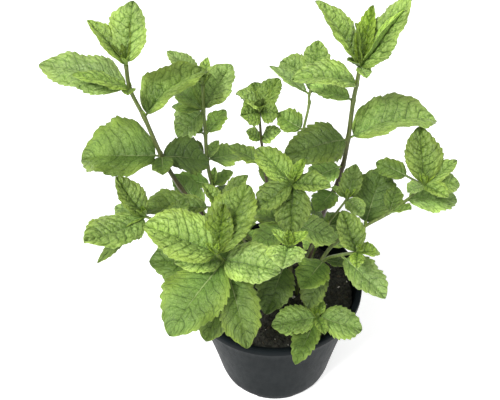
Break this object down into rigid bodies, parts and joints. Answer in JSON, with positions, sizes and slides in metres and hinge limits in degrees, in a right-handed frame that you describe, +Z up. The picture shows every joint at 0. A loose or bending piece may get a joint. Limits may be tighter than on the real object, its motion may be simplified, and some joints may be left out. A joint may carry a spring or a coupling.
{
  "type": "potted mint plant",
  "caption": "Bushy young mint plant with square stems and opposite toothed, quilted leaves, growing in dark soil in a round tapered plastic nursery pot.",
  "frame": {"origin": "centre of the pot's base, on the surface that the pot stands on", "axes": "+Z up along the pot's axis, -Y towards the front of the plant"},
  "size_m": [0.246, 0.1766, 0.2819],
  "materials": {
    "pot_plastic": "satin anthracite moulded plastic",
    "soil": "loose dark potting soil",
    "leaf": "matt quilted leaf with a soft sheen",
    "stem": "smooth square stem, purple brown to green"
  },
  "bodies": {
    "root": {"pot": "pot_plastic", "soil": "soil", "shoot_tall_left": "leaf", "shoot_back_left": "leaf", "shoot_back_centre": "leaf", "shoot_back_right": "leaf", "shoot_tall_right": "leaf", "shoot_right": "leaf", "shoot_front_left": "leaf", "shoot_left": "leaf", "shoot_centre": "leaf", "shoot_front_centre": "leaf", "shoot_front_right": "leaf", "shoot_low_front": "leaf", "shoot_mid_right": "leaf", "shoot_mid_left": "leaf", "shoot_low_back_left": "leaf", "shoot_low_back_right": "leaf"}
  },
  "joints": []
}
